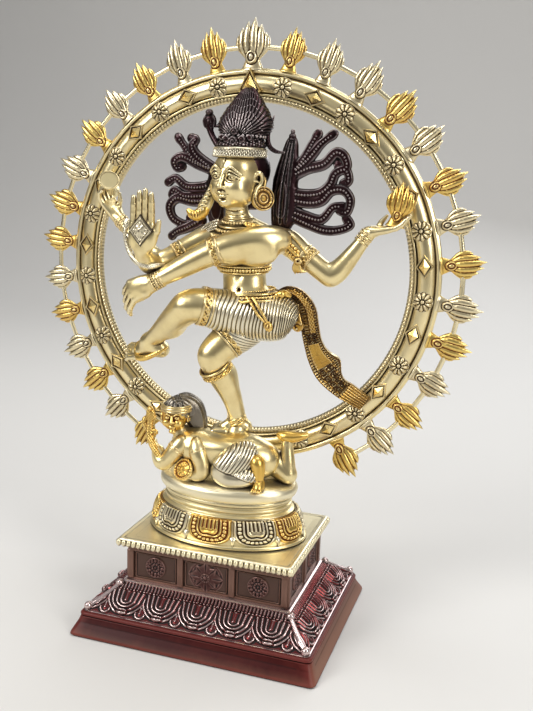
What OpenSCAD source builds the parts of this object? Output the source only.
// Dancing figure inside a ring of flames, on a lotus pedestal and a stepped plinth.
// Front is -Y, up is +Z, and the origin is the centre of the plinth's underside. Millimetres.

/* [Plinth] */
// Width of the slab at the floor
slab_w = 218; // [200:1:236]
// Depth of the slab at the floor
slab_d = 180; // [165:1:195]
// Height of the slab
slab_h = 20; // [16:1:24]
// Height at which the petal slope ends and the panel box begins
skirt_top = 41; // [38:1:46]
// Width of the panel box
dado_w = 148; // [140:1:156]
// Depth of the panel box
dado_d = 100; // [92:1:106]
// Height of the underside of the cornice
dado_top = 70; // [66:1:76]
// Width of the cornice
cornice_w = 158; // [152:1:166]
// Depth of the cornice
cornice_d = 120; // [112:1:126]
// Height of the top of the cornice
cornice_top = 82; // [80:1:88]

/* [Pedestal] */
// Half width of the lotus drum at its foot
drum_rx = 71; // [66:1:74]
// Depth of the oval pedestal over its width
drum_oval = 0.66; // [0.6:0.01:0.75]
// Height of the top of the pedestal
disc_top = 133; // [130:1:136]
// Petals round the drum
petal_count = 10; // [8:2:12]

/* [Ring] */
// Height of the ring's centre
ring_z = 306; // [300:1:310]
// Distance of the ring's middle plane behind the pedestal's centre
ring_y = 46; // [45:1:50]
// Sideways place of the ring's centre
ring_x = -5; // [-6:1:0]
// Radius of the line of ornaments on the band
ornament_r = 158; // [154:1:162]
// Half width of the band
band_half = 14; // [11:1:15]
// Radius of the thin hoop that links the flames
hoop_r = 189; // [186:1:192]
// Angle from one flame to the next
flame_step = 10.6; // [10:0.1:10.9]
// Flames on each side of the top one
flames_per_side = 14; // [12:1:14]

/* [Figure] */
// Sides of a limb's section
limb_sides = 12; // [8:2:16]

/* [Hidden] */
brass = "#c9b27a";
gilt = "#d9a520";
dark = "#2c1a1c";
wine = "#5a1d1d";
steel = "#8f9296";
wall = 4;
plate_t = 2;
screw_r = 2;
rod_r = 3;
slab_top_w = 204;
slab_top_d = 162;
skirt_lip = 2.5;
ornament_last = 15;
drum_neck_z = 112;
disc_z = 119;
disc_rx = 63;
bracket_w = 34;

// ---- shapes that repeat ----

function unit(v) = v / norm(v);
function tangent(path, i) =
    let (n = len(path), a = path[max(i - 1, 0)], b = path[min(i + 1, n - 1)])
    unit([b[0] - a[0], b[1] - a[1], b[2] - a[2]]);
// One ring of a limb: half width a in the plane of the dance, half thickness b across it.
function limb_ring(p, t, a, b) =
    let (u = unit(cross(t, [0, 1, 0])), v = cross(u, t))
    [for (k = [0:limb_sides - 1])
        let (w = 360 * k / limb_sides)
        [p[0], p[1], p[2]] + a * cos(w) * u + b * sin(w) * v];
function skin_faces(rings, sides) = concat(
    [[for (k = [sides - 1:-1:0]) k]],
    [for (i = [0:rings - 2], k = [0:sides - 1])
        [i * sides + (k + 1) % sides, (i + 1) * sides + (k + 1) % sides,
         (i + 1) * sides + k, i * sides + k]],
    [[for (k = [0:sides - 1]) (rings - 1) * sides + k]]);

// A closed limb through points [x, y, z, half width, half thickness].
module limb(path) {
    points = [for (i = [0:len(path) - 1])
        each limb_ring(path[i], tangent(path, i), path[i][3], path[i][4])];
    polyhedron(points, skin_faces(len(path), limb_sides), convexity = 6);
}

// A closed stack of level ovals [x, y, z, half width, half depth], lowest first.
module stack(levels) {
    points = [for (s = levels, k = [0:limb_sides - 1])
        let (w = -360 * k / limb_sides)
        [s[0] + s[3] * cos(w), s[1] + s[4] * sin(w), s[2]]];
    polyhedron(points, skin_faces(len(levels), limb_sides), convexity = 4);
}

// A plain slab with rounded corners that narrows from one size to another.
module taper(w0, d0, w1, d1, h, r) {
    hull() {
        rounded_sheet(w0, d0, r);
        translate([0, 0, h - 0.2]) rounded_sheet(w1, d1, r);
    }
}
module rounded_sheet(w, d, r) {
    linear_extrude(0.2)
        for (x = [-1, 1], y = [-1, 1])
            translate([x * (w / 2 - r), y * (d / 2 - r)]) circle(r, $fn = 20);
}
module box(w, d, z0, z1) {
    translate([-w / 2, -d / 2, z0]) cube([w, d, z1 - z0]);
}
// Puts its child at an angle round the ring, with +Z pointing outward and the front at -Y.
module on_ring(angle) {
    translate([ring_x, ring_y, ring_z]) rotate([0, angle, 0]) children();
}
// A flat ring about a limb that runs in the given direction.
module bangle(p, direction, r, h) {
    a = unit(direction);
    translate(p) rotate([0, acos(a[2]), atan2(a[1], a[0])])
        difference() {
            translate([0, 0, -h / 2]) cylinder(r = r, h = h, $fn = 32);
            translate([0, 0, -h]) cylinder(r = r - 1.8, h = 2 * h, $fn = 32);
        }
}

// ---- plinth ----

module base_slab() {
    color(wine) difference() {
        taper(slab_w, slab_d, slab_top_w, slab_top_d, slab_h, 7);
        box(slab_w - 40, slab_d - 36, -1, slab_h + 1);
        box(slab_w - 28, slab_d - 24, -1, plate_t);
    }
}
module lotus_skirt() {
    color(wine) difference() {
        union() {
            translate([0, 0, slab_h])
                taper(slab_top_w - 3, slab_top_d - 3, dado_w + 6, dado_d + 8, skirt_top - slab_h - skirt_lip, 4);
            box(dado_w + 6, dado_d + 8, skirt_top - skirt_lip - 0.3, skirt_top);
        }
        box(dado_w - 2 * wall - 4, dado_d - 2 * wall - 4, slab_h - 1, skirt_top + 1);
        translate([0, 0, slab_h - 0.5])
            taper(slab_top_w - 22, slab_top_d - 22, dado_w - 8, dado_d - 8, skirt_top - slab_h - 6, 4);
    }
}
petal_slope = atan2(skirt_top - slab_h, (slab_top_d - dado_d) / 2);
module skirt_petal() {
    linear_extrude(2.5) union() {
        circle(11, $fn = 32);
        translate([-9, 0]) square([18, 17]);
    }
}
module skirt_petal_row(count, pitch, edge) {
    for (i = [0:count - 1])
        translate([(i - (count - 1) / 2) * pitch, -edge, slab_h + 4.4])
            rotate([petal_slope, 0, 0]) translate([0, 9, 0]) skirt_petal();
}
module skirt_petals() {
    color(wine) {
        for (a = [0, 180]) rotate(a) skirt_petal_row(5, 33, slab_top_d / 2 - 4);
        for (a = [90, 270]) rotate(a) skirt_petal_row(4, 30, slab_top_w / 2 - 4);
    }
}
module dado_box() {
    color(dark) difference() {
        box(dado_w - 4, dado_d - 4, skirt_top, dado_top);
        box(dado_w - 2 * wall - 4, dado_d - 2 * wall - 4, skirt_top - 1, dado_top - wall);
        translate([0, 0, dado_top - wall - 1]) cylinder(r = rod_r + 0.3, h = wall + 2, $fn = 32);
    }
}
pilaster_w = 5;
module pilaster_pair(at, depth) {
    for (x = at) translate([x - pilaster_w / 2, -depth / 2, skirt_top])
        cube([pilaster_w, 2, dado_top - skirt_top]);
}
module dado_pilasters() {
    color(dark) {
        for (a = [0, 180]) rotate(a) pilaster_pair([-69, -23, 23, 69], dado_d);
        for (a = [90, 270]) rotate(a) pilaster_pair([-45, 0, 45], dado_w);
    }
}
module dado_rosettes() {
    mid = (skirt_top + dado_top) / 2;
    color(wine) {
        for (s = [-1, 1], x = [-46, 46])
            translate([x, s * (dado_d / 2 - 0.6), mid]) rotate([90, 0, 0])
                cylinder(r = 7.5, h = 2.8, center = true, $fn = 40);
        for (s = [-1, 1])
            translate([0, s * (dado_d / 2 - 0.6), mid]) rotate([90, 45, 0])
                cube([17, 17, 2.8], center = true);
        for (s = [-1, 1], y = [-22.5, 22.5])
            translate([s * (dado_w / 2 - 0.6), y, mid]) rotate([0, 90, 0])
                cylinder(r = 7.5, h = 2.8, center = true, $fn = 40);
    }
}
bead_r = 2.6;
module cornice_plate() {
    color(brass) difference() {
        union() {
            box(cornice_w - 4, cornice_d - 4, dado_top, cornice_top - 2);
            box(cornice_w - 1.4, cornice_d - 1.4, cornice_top - 2, cornice_top);
        }
        box(dado_w - 14, dado_d - 14, dado_top - 1, cornice_top - wall);
        translate([0, 0, dado_top - 1]) cylinder(r = rod_r + 0.3, h = 20, $fn = 32);
    }
}
module bead_bar(length) {
    rotate([0, 90, 0]) cylinder(r = bead_r, h = length, center = true, $fn = 24);
}
module cornice_bead() {
    z = cornice_top - 2 - bead_r;
    color(brass) for (s = [-1, 1]) {
        translate([0, s * (cornice_d / 2 - bead_r + 1), z]) bead_bar(cornice_w + 2);
        translate([s * (cornice_w / 2 - bead_r + 1), 0, z]) rotate(90) bead_bar(cornice_d + 2 - 4 * bead_r);
    }
}
plate_w = slab_w - 29;
plate_d = slab_d - 25;
module bottom_plate() {
    color(steel) difference() {
        box(plate_w, plate_d, 0, plate_t);
        for (x = [-1, 1], y = [-1, 1])
            translate([x * (plate_w / 2 - 3), y * (plate_d / 2 - 3), -1]) cylinder(r = screw_r, h = 5, $fn = 24);
    }
}
module bottom_screws() {
    color(steel) for (x = [-1, 1], y = [-1, 1])
        translate([x * (plate_w / 2 - 3), y * (plate_d / 2 - 3), 0.3]) {
            cylinder(r = screw_r, h = 6, $fn = 24);
        }
}
module tie_rod() {
    color(steel) translate([0, 0, 58]) cylinder(r = rod_r, h = disc_top - 58 + 4, $fn = 32);
}
module tie_washer() {
    color(steel) difference() {
        translate([0, 0, dado_top - wall - 2]) cylinder(r = 9, h = 2, $fn = 40);
        translate([0, 0, 50]) cylinder(r = rod_r + 0.2, h = 30, $fn = 32);
    }
}
module tie_nut() {
    color(steel) difference() {
        translate([0, 0, dado_top - wall - 7]) cylinder(r = 6, h = 5, $fn = 6);
        translate([0, 0, 50]) cylinder(r = rod_r, h = 30, $fn = 32);
    }
}

// ---- pedestal ----

module oval_turning(profile) {
    scale([1, drum_oval, 1]) rotate_extrude($fn = 72) polygon(profile);
}
module lotus_drum() {
    color(brass) oval_turning([
        [drum_rx, cornice_top], [drum_rx + 1, cornice_top + 2],
        [drum_rx - 1, cornice_top + 4], [drum_rx - 1.5, cornice_top + 8], [drum_rx - 5, cornice_top + 18],
        [drum_rx - 12, cornice_top + 27], [drum_rx - 13, drum_neck_z], [drum_rx - 14, disc_z],
        [rod_r + 2, disc_z], [rod_r + 2, disc_z - wall], [drum_rx - 20, disc_z - wall],
        [drum_rx - 18, cornice_top + 26], [drum_rx - 9, cornice_top + 12], [drum_rx - 7, cornice_top]
    ]);
}
module drum_petal(i) {
    a = 360 * (i + 0.5) / petal_count;
    x = (drum_rx - 5.5) * cos(a);
    y = (drum_rx - 5.5) * drum_oval * sin(a);
    face = atan2(y / (drum_oval * drum_oval), x);
    translate([x, y, cornice_top + 15]) rotate([0, 0, face + 90]) rotate([-24, 0, 0])
        rotate([90, 0, 0]) linear_extrude(4, center = true) union() {
            circle(11, $fn = 32);
            translate([-13, 0]) square([26, 9]);
        }
}
module drum_petals_gilt() {
    color(gilt) for (i = [1:2:petal_count - 1]) drum_petal(i);
}
module drum_petals_plain() {
    color(brass) for (i = [0:2:petal_count - 1]) drum_petal(i);
}
module pedestal_disc() {
    color(brass) oval_turning([
        [disc_rx - 14, disc_z], [disc_rx - 7, disc_z], [disc_rx - 1.5, disc_z + 3], [disc_rx, disc_z + 6.5],
        [disc_rx - 1.2, disc_z + 10.5], [disc_rx - 5, disc_top - 1], [disc_rx - 9, disc_top],
        [rod_r + 2, disc_top], [rod_r + 2, disc_top - 6], [disc_rx - 13, disc_top - 6]
    ]);
}

// ---- ring of flames ----

band_depth = 9;
module ring_band() {
    a = ornament_r - band_half;
    b = ornament_r + band_half;
    color(brass) on_ring(0) rotate([90, 0, 0]) rotate_extrude($fn = 180) polygon([
        [a + 5, -band_depth / 2], [b, -band_depth / 2], [b, 1], [b - 4, 2],
        [b - 6, band_depth / 2 + 0.5], [ornament_r + 3, band_depth / 2 + 2],
        [ornament_r - 3, band_depth / 2 + 2], [a + 8, band_depth / 2], [a + 6, 2], [a + 5, 2]
    ]);
}
arc_half = ornament_last * flame_step;
module ring_arc(half) {
    // rotate_extrude sweeps from +X, so the arc is turned to lie evenly about the top
    on_ring(0) rotate([90, 0, 0]) rotate(90 - half) rotate_extrude(angle = 2 * half, $fn = 180) children();
}
module ring_rope_edge() {
    color(brass) ring_arc(arc_half + 3)
        translate([ornament_r - band_half, -band_depth / 2]) square([5, band_depth / 2 + 3]);
}
module ring_hoop() {
    color(brass) ring_arc(flames_per_side * flame_step)
        translate([hoop_r - 2, -2]) square([4, 3.6]);
}
// A closed bud of revolution: stem, swelling and tip.
module flame_bud(k) {
    rotate_extrude($fn = 32) polygon([
        [0, -18 * k], [3.6 * k, -18 * k], [2.8 * k, -12 * k], [6 * k, -9 * k], [9.5 * k, -2 * k],
        [9.6 * k, 3 * k], [7.5 * k, 9 * k], [3.6 * k, 14 * k], [0, 18 * k]
    ]);
}
bud_r = ornament_r + band_half + 18;
// The gilt flames; those with a minus sign are on the -X side.
function is_gilt(i) = abs(i) > 7 || i > 3 ? i % 2 == 0 : abs(i) == 1 || (i < 0 && i % 2 != 0);
module flame(i) {
    on_ring(i * flame_step) translate([0, 0, bud_r]) scale(0.9) flame_bud(1);
}
module flames_gilt() {
    color(gilt) for (i = [1:flames_per_side], s = [-1, 1]) if (is_gilt(s * i)) flame(s * i);
}
module flames_plain() {
    color(brass) for (i = [1:flames_per_side], s = [-1, 1]) if (!is_gilt(s * i)) flame(s * i);
}
module crest_flame() {
    color(brass) on_ring(0) translate([0, 0, ring_crest_r]) flame_bud(1.14);
}
ring_crest_r = 515 - ring_z - 18 * 1.14;
module on_band(i) {
    on_ring(i * flame_step) translate([0, -band_depth / 2 - 2, ornament_r]) rotate([90, 0, 0]) children();
}
module ring_diamonds() {
    color(gilt) for (i = [2:2:ornament_last - 1], s = [-1, 1])
        on_band(s * i) rotate(90) cylinder(r1 = 7.5, r2 = 0.4, h = 3.4, $fn = 4);
}
module flower() {
    cylinder(r = 2.2, h = 2.4, $fn = 20);
    for (a = [0:45:315]) rotate(a) translate([4.4, 0, 0]) cylinder(r = 1.6, h = 1.8, $fn = 16);
    cylinder(r = 5, h = 0.9, $fn = 24);
}
module ring_flowers() {
    color(brass) for (i = [1:2:ornament_last], s = [-1, 1]) on_band(s * i) flower();
}
module ring_bracket() {
    // a lug behind the drum that carries the ring's lowest stretch
    color(brass) difference() {
        translate([-bracket_w / 2, ring_y + band_depth / 2, cornice_top])
            cube([bracket_w, 7, ring_z - ornament_r - cornice_top + 4]);
        for (x = [-10, 10]) translate([x, ring_y, ring_z - ornament_r - 1]) rotate([-90, 0, 0])
            cylinder(r = 2.2, h = 20, $fn = 24);
    }
}
module ring_bolts() {
    color(steel) for (x = [-10, 10])
        translate([x, ring_y + band_depth / 2 - 3, ring_z - ornament_r - 1]) rotate([-90, 0, 0]) {
            cylinder(r = 2, h = 13, $fn = 24);
            translate([0, 0, 10]) cylinder(r = 4, h = 3, $fn = 6);
        }
}

// ---- dwarf ----

module dwarf_body() {
    color(brass) limb([
        [-38, -14, 162, 3, 4], [-34, -14, 160, 13, 13], [-24, -14, 157, 17, 16], [-8, -13, 154, 16, 16],
        [8, -12, 153, 16, 16], [24, -10, 153, 18, 17], [36, -8, 152, 14, 14], [44, -6, 149, 4, 5]
    ]);
}
module dwarf_head() {
    color(gilt) stack([
        [-40, -22, 171, 3, 3], [-41, -23, 174, 8, 9], [-42, -23, 181, 10.5, 11.5],
        [-42, -22, 189, 11.5, 12], [-42, -21, 195, 11, 11]
    ]);
}
module dwarf_hair() {
    color(dark) union() {
        stack([[-41, -19, 195.1, 12.5, 12.5], [-41, -18, 200, 11, 11], [-40, -16, 204, 5, 5]]);
        stack([[-30, -6, 172, 3, 4], [-30, -8, 178, 6, 8], [-31, -8, 190, 7, 9], [-33, -9, 197, 6, 8]]);
    }
}
module dwarf_left_arm() {
    color(brass) limb([
        [-34, -26, 164, 5, 5], [-38, -28, 156, 7, 7], [-44, -30, 147, 6.5, 6.5],
        [-50, -30, 144, 6, 6], [-54, -28, 150, 5, 5], [-57, -26, 157, 5.5, 5]
    ]);
}
module dwarf_right_arm() {
    color(brass) limb([
        [-20, -26, 164, 5, 5], [-16, -30, 156, 7, 7], [-12, -30, 146, 6.5, 6.5],
        [-14, -31, 140, 6, 6], [-18, -31, 137, 5, 4]
    ]);
}
module dwarf_snake() {
    color(gilt) limb([
        [-52, -24, 152, 2, 2], [-57, -25, 156, 4, 4], [-60, -26, 163, 4.4, 4.4],
        [-62, -27, 169, 3.6, 3.6], [-63, -27, 175, 4.6, 3.6], [-62, -27, 183, 4.2, 3.2], [-61, -28, 189, 1.2, 1.2]
    ]);
}
module dwarf_hand_disc() {
    color(gilt) translate([-28, -33, disc_top + 9]) rotate([62, 0, -18]) cylinder(r = 9, h = 4, center = true, $fn = 32);
}
module dwarf_near_leg() {
    color(brass) union() {
        limb([
            [26, -16, 158, 6, 6], [18, -24, 156, 12, 11], [10, -28, 149, 11, 10], [2, -30, 144, 9, 9],
            [0, -30, 141, 3, 3]
        ]);
        limb([
            [2, -29, 141.5, 3, 3], [6, -30, 141, 7, 7], [16, -30, 140, 7, 7], [30, -28, 142, 6.5, 6.5],
            [36, -26, 145, 5, 5]
        ]);
        limb([
            [33, -25, 158, 3, 3], [35, -26, 156, 6, 6], [36.5, -27, 150, 5, 5], [38, -28, 142, 4.6, 4.6],
            [38, -30, 137, 5.6, 6], [38, -31, 133.4, 3, 4]
        ]);
    }
}
module dwarf_far_leg() {
    color(brass) union() {
        limb([
            [34, 0, 152, 6, 6], [42, 0, 148, 10, 10], [52, -2, 142, 8, 8], [57, -3, 139, 5, 5]
        ]);
        limb([
            [56, -4, 135, 3, 3], [56, -4, 138, 5.5, 5.5], [55, -3, 150, 5.5, 5.5], [53, -1, 164, 4.6, 4.6],
            [53, 0, 170, 4, 4]
        ]);
        limb([
            [45, 0, 176, 2, 2], [48, 0, 175, 4, 4.5], [56, 0, 173, 4, 5], [66, 0, 176, 3, 4.5], [71, 0, 178, 1, 2]
        ]);
    }
}

// ---- figure ----

module torso() {
    color(brass) stack([
        [20, 2, 268, 8, 6], [20, 2, 274, 26, 20], [17, 1, 286, 24, 18], [10, 0, 297, 18.5, 14],
        [9, 0, 303, 18, 13.5], [9, -1, 312, 20, 15], [9, -2, 322, 24, 17], [9, -3, 334, 31, 18],
        [8, -2, 342, 33, 16], [5, -2, 350, 22, 12], [4, -3, 354, 11, 10.5], [4, -4, 366, 9.5, 10]
    ]);
}
module head() {
    color(brass) stack([
        [3, -10, 362, 4, 4], [3, -10, 365, 9, 9], [3, -9, 370, 14, 14.5], [3, -7, 378, 18, 19],
        [4, -6, 388, 20, 22], [4, -5, 398, 20.5, 22.5], [4, -4, 406, 20, 22]
    ]);
}
module crown() {
    color(dark) stack([
        [5, -3, 413, 19, 20], [5, -1, 417, 16, 17], [6, 0, 421, 18, 18], [7, 0, 427, 22, 19],
        [7, 1, 434, 20, 17], [7, 3, 444, 14, 14], [7, 6, 453, 9, 10], [7, 8, 459, 3, 4]
    ]);
}
module crown_band() {
    color(brass) stack([[4, -4, 404, 21.5, 23.5], [4, -4, 408, 22.5, 24.5], [4, -3, 414, 20.5, 22.5]]);
}
module crown_cobra() {
    color(dark) limb([
        [-14, -4, 411, 2, 2], [-17, -3, 416, 3, 3], [-22, -2, 423, 3.5, 3], [-24, -2, 430, 6, 3.4],
        [-23, -3, 437, 6, 3.4], [-20, -5, 442, 2.5, 2]
    ]);
}
module crown_crescent() {
    color(dark) limb([
        [30, 2, 434, 1, 1.6], [27, 2, 429, 1.8, 1.8], [25, 2, 422, 2.2, 2], [27, 2, 414, 2.4, 2],
        [33, 2, 408, 2, 1.8], [41, 3, 407, 1, 1]
    ]);
}
fan_t = 3.5;
// Locks that spread like spokes from a root column, each a limb from the root to its tip.
module fan(root, low, high, tips, side) {
    union() {
        limb([[root[0], root[1], low, 3, fan_t], [root[0] + side * 2, root[1], (low + high) / 2, 9, fan_t],
              [root[0] + side * 3, root[1], high, 2, fan_t]]);
        for (t = tips)
            limb([[root[0], root[1], (low + high) / 2 + (t[1] - (low + high) / 2) * 0.3, 2, fan_t - 0.5],
                  [(root[0] + t[0]) / 2, root[1] + 1, (low + high) / 4 + t[1] / 2 - 3, 7, fan_t],
                  [t[0] - side * 4, root[1] + 2, t[1] - 4, 7, fan_t], [t[0], root[1] + 2, t[1], 3, 2]]);
    }
}
module hair_fan_left() {
    color(dark) fan([-20, 16], 350, 408, [[-56, 418], [-66, 402], [-70, 380], [-66, 354], [-56, 338]], -1);
}
module hair_fan_right() {
    color(dark) fan([36, 16], 350, 420, [[44, 428], [74, 425], [88, 409], [95, 382], [94, 354], [74, 346]], 1);
}
module earring_disc() {
    color(gilt) translate([27, -6, 371]) rotate([0, 90, -38]) cylinder(r = 9.2, h = 5, center = true, $fn = 40);
}
module earring_long() {
    color(gilt) limb([
        [-17, -8, 384, 2, 2], [-19, -9, 379, 4, 4], [-21, -11, 370, 4.5, 4.5], [-25, -14, 361, 5, 5],
        [-30, -16, 357, 3, 3], [-34, -17, 357, 1, 1]
    ]);
}
module necklace() {
    color(gilt) stack([
        [4, -5, 345.5, 19, 15.5], [4, -5, 349, 18.5, 15.5], [4, -4, 352.5, 14, 13], [4, -4, 355, 11.5, 11.5]
    ]);
}
module chest_band() {
    color(gilt) stack([[9, -1, 310.5, 21.5, 16.5], [9, -1, 313, 22, 17], [9, -1, 316.5, 23, 17.5]]);
}
module crossing_arm() {
    color(brass) limb([
        [42, 0, 338, 7, 7], [38, -4, 339, 12, 12], [24, -14, 338, 11.5, 10], [4, -21, 333, 11, 9.5],
        [-16, -27, 324, 10, 9], [-34, -33, 314, 8.5, 8], [-53, -38, 303, 6.2, 5.6],
        [-62, -39, 299, 9, 5.4], [-72, -38, 290, 9, 5], [-80, -37, 279, 7, 4], [-83, -36, 272, 3, 2]
    ]);
}
module flame_arm() {
    color(brass) limb([
        [38, 8, 341, 7, 6], [46, 7, 336, 10.5, 9], [58, 7, 327, 9, 8.5], [72, 8, 317, 8, 8],
        [82, 9, 310, 8.6, 8], [90, 12, 318, 7.6, 7], [99, 16, 332, 5.8, 5.8], [106, 19, 344, 5, 5],
        [114, 22, 349, 6, 5.4], [126, 26, 351, 6, 6.6], [138, 27, 353, 5, 5], [143, 27, 358, 2, 2]
    ]);
}
module blessing_arm() {
    color(brass) limb([
        [-17, -2, 340, 7, 6], [-24, -4, 336, 10, 9], [-38, -10, 328, 8.6, 8.4], [-52, -17, 318, 8.6, 8.6],
        [-61, -26, 314, 8.8, 8.8], [-63, -35, 318, 8, 8], [-62, -43, 326, 6.4, 6.4],
        [-62, -47, 334, 9, 5], [-62, -48, 345, 12.5, 4.4], [-62, -49, 355, 12.5, 3.8],
        [-61, -50, 366, 10.5, 3], [-60, -50, 375, 5, 2.2]
    ]);
}
module drum_arm() {
    color(brass) limb([
        [-20, 8, 340, 6, 6], [-30, 8, 335, 9.5, 8.5], [-48, 8, 326, 8.4, 8], [-64, 8, 317, 8, 7.6],
        [-74, 9, 314, 8.2, 7.6], [-86, 12, 322, 7.4, 7], [-102, 16, 334, 6, 6], [-117, 20, 346, 5, 5],
        [-125, 22, 353, 5.5, 5.4], [-130, 23, 361, 6.5, 6], [-132, 24, 370, 4, 4]
    ]);
}
module hand_flame() {
    color(gilt) translate([131, 25, 369]) scale(0.95) rotate([0, 10, 0]) flame_bud(1);
}
module hand_drum() {
    color(brass) translate([-128, 22, 376]) rotate([0, 62, -62]) rotate_extrude($fn = 40) polygon([
        [0, -10], [8.6, -10], [8.6, -8], [4.4, 0], [8.6, 8], [8.6, 10], [0, 10]
    ]);
}
module bangles() {
    color(gilt) union() {
        bangle([-53, -38, 303], [-19, -5, -11], 8.2, 9);
        bangle([-8, -24.5, 328], [-20, -6, -8.5], 12.6, 6);
        bangle([106, 19, 344], [8, 3, 12], 7, 7);
        bangle([61, 7, 325], [14, 0, -10], 10.4, 6);
        bangle([-43, -13, 324], [-14, -7, -10], 10.4, 6);
        bangle([-117, 20, 346], [-15, 4, 12], 7, 7);
    }
}
module dhoti() {
    color(brass) limb([
        [54, 1, 273, 6, 6], [50, 1, 274, 15, 15], [40, 0, 274, 20, 20], [26, -3, 275, 21, 21],
        [10, -9, 276, 20, 19], [-4, -17, 279, 18, 16.5], [-14, -23, 282, 16, 15], [-18, -25, 283, 13.5, 13]
    ]);
}
module waist_belt() {
    color(gilt) stack([[17, 1, 289.5, 25, 20], [16, 1, 292.5, 25, 20], [14, 0, 296, 21, 17]]);
}
module raised_leg() {
    color(brass) union() {
        limb([
            [-14, -23, 283, 10, 10], [-22, -28, 284, 12, 11.6], [-30, -29, 281, 12, 11.6],
            [-38, -25, 274, 11, 10.6], [-50, -18, 264, 9.6, 9], [-64, -10, 253, 7, 7], [-74, -4, 246, 6, 6],
            [-80, 0, 242, 7.6, 6.6], [-90, 6, 238, 7.6, 6], [-102, 14, 234, 6.6, 5.4], [-112, 20, 231, 5, 5],
            [-116, 23, 230, 2, 3]
        ]);
    }
}
module standing_leg() {
    color(brass) union() {
        limb([
            [14, 4, 270, 10, 10], [8, 0, 262, 15, 15], [-2, -8, 253, 14, 14], [-9, -14, 246, 12, 12],
            [-10, -15, 238, 11, 11.5], [-6, -12, 229, 10, 10.4], [-2, -8, 218, 9.6, 9.6],
            [2, -4, 204, 7.4, 7.6], [5, -1, 192, 6, 6.4], [7, 0, 182, 7, 7], [8, 0, 172, 7, 7]
        ]);
        limb([
            [17, 3, 175, 3, 3], [14, 3, 175, 6, 6], [4, -1, 175, 6, 7], [-8, -6, 173.4, 4.6, 7.4],
            [-16, -9, 172.4, 3.4, 7], [-21, -11, 172, 1.6, 4]
        ]);
    }
}
module sash() {
    color(gilt) limb([
        [40, 4, 292, 3, 2.4], [47, 8, 294, 5, 2.6], [55, 12, 289, 6.4, 3], [61, 15, 279, 7, 3],
        [64, 18, 266, 7, 3], [65, 21, 252, 7.4, 3], [70, 24, 238, 8.6, 3], [78, 27, 226, 9.6, 3],
        [90, 30, 215, 8.2, 3], [102, 33, 206, 7.4, 3], [110, 34.5, 201, 6.4, 3]
    ]);
}

base_slab();
lotus_skirt();
skirt_petals();
dado_box();
dado_pilasters();
dado_rosettes();
cornice_plate();
cornice_bead();
bottom_plate();
bottom_screws();
tie_rod();
tie_washer();
tie_nut();
lotus_drum();
drum_petals_gilt();
drum_petals_plain();
pedestal_disc();
ring_band();
ring_rope_edge();
ring_hoop();
flames_gilt();
flames_plain();
crest_flame();
ring_diamonds();
ring_flowers();
ring_bracket();
ring_bolts();
dwarf_body();
dwarf_head();
dwarf_hair();
dwarf_left_arm();
dwarf_right_arm();
dwarf_snake();
dwarf_hand_disc();
dwarf_near_leg();
dwarf_far_leg();
torso();
head();
crown();
crown_band();
crown_cobra();
crown_crescent();
hair_fan_left();
hair_fan_right();
earring_disc();
earring_long();
necklace();
chest_band();
crossing_arm();
flame_arm();
blessing_arm();
drum_arm();
hand_flame();
hand_drum();
bangles();
dhoti();
waist_belt();
raised_leg();
standing_leg();
sash();
